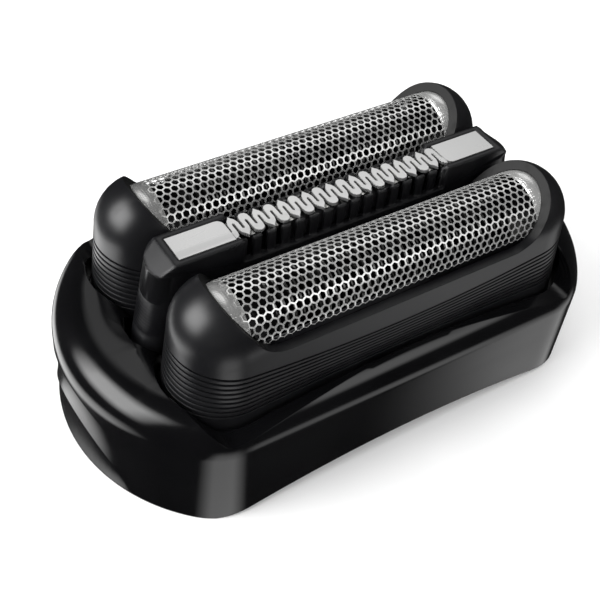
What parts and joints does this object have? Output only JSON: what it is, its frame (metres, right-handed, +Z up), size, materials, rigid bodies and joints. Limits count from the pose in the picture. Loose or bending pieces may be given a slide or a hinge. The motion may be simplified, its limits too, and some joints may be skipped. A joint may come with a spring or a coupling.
{
  "type": "shaver foil head",
  "caption": "Foil head of an electric shaver: perforated foils in ribbed carriers beside a comb trimmer, floating on springs in a black frame, with cutters that stroke below.",
  "frame": {"origin": "below the middle of the head, on the surface that it stands on", "axes": "+X along the foils, +Y to the rear foil, +Z up towards the foils"},
  "size_m": [0.0628, 0.0338, 0.0244],
  "materials": {
    "frame_plastic": "glossy black",
    "carrier_plastic": "satin black",
    "inner_plastic": "matt dark grey",
    "foil_steel": "bright foil",
    "blade_steel": "ground steel",
    "spring_steel": "spring steel"
  },
  "bodies": {
    "frame": {"outer_frame": "frame_plastic", "base_retainer": "inner_plastic", "front_float_spring_left": "spring_steel", "front_float_spring_right": "spring_steel", "trimmer_float_spring_left": "spring_steel", "trimmer_float_spring_right": "spring_steel", "rear_float_spring_left": "spring_steel", "rear_float_spring_right": "spring_steel"},
    "trimmer_element": {"trimmer_body": "carrier_plastic", "trimmer_comb": "foil_steel"},
    "trimmer_cutter": {"trimmer_blade": "blade_steel", "trimmer_slider": "inner_plastic"},
    "front_element": {"front_foil_carrier": "carrier_plastic", "front_foil": "foil_steel", "front_foil_retainer": "inner_plastic", "front_cutter_springs": "spring_steel"},
    "front_cutter": {"front_cutter_bridge": "inner_plastic", "front_cutter_blades": "blade_steel"},
    "rear_element": {"rear_foil_carrier": "carrier_plastic", "rear_foil": "foil_steel", "rear_foil_retainer": "inner_plastic", "rear_cutter_springs": "spring_steel"},
    "rear_cutter": {"rear_cutter_bridge": "inner_plastic", "rear_cutter_blades": "blade_steel"}
  },
  "joints": [
    {"name": "front_float", "type": "slide", "parent": "frame", "child": "front_element", "axis": [0, 0, 1], "range_m": [-0.002, 0], "stiffness_N_per_m": 250, "springref_m": 0.0015, "deforming": ["front_float_spring_left", "front_float_spring_right"]},
    {"name": "front_stroke", "type": "slide", "parent": "front_element", "child": "front_cutter", "axis": [1, 0, 0], "range_m": [-0.0012, 0.0012]},
    {"name": "trimmer_float", "type": "slide", "parent": "frame", "child": "trimmer_element", "axis": [0, 0, 1], "range_m": [-0.002, 0], "stiffness_N_per_m": 250, "springref_m": 0.0015, "deforming": ["trimmer_float_spring_left", "trimmer_float_spring_right"]},
    {"name": "trimmer_stroke", "type": "slide", "parent": "trimmer_element", "child": "trimmer_cutter", "axis": [1, 0, 0], "range_m": [-0.0012, 0.0012]},
    {"name": "rear_float", "type": "slide", "parent": "frame", "child": "rear_element", "axis": [0, 0, 1], "range_m": [-0.002, 0], "stiffness_N_per_m": 250, "springref_m": 0.0015, "deforming": ["rear_float_spring_left", "rear_float_spring_right"]},
    {"name": "rear_stroke", "type": "slide", "parent": "rear_element", "child": "rear_cutter", "axis": [1, 0, 0], "range_m": [-0.0012, 0.0012]}
  ]
}
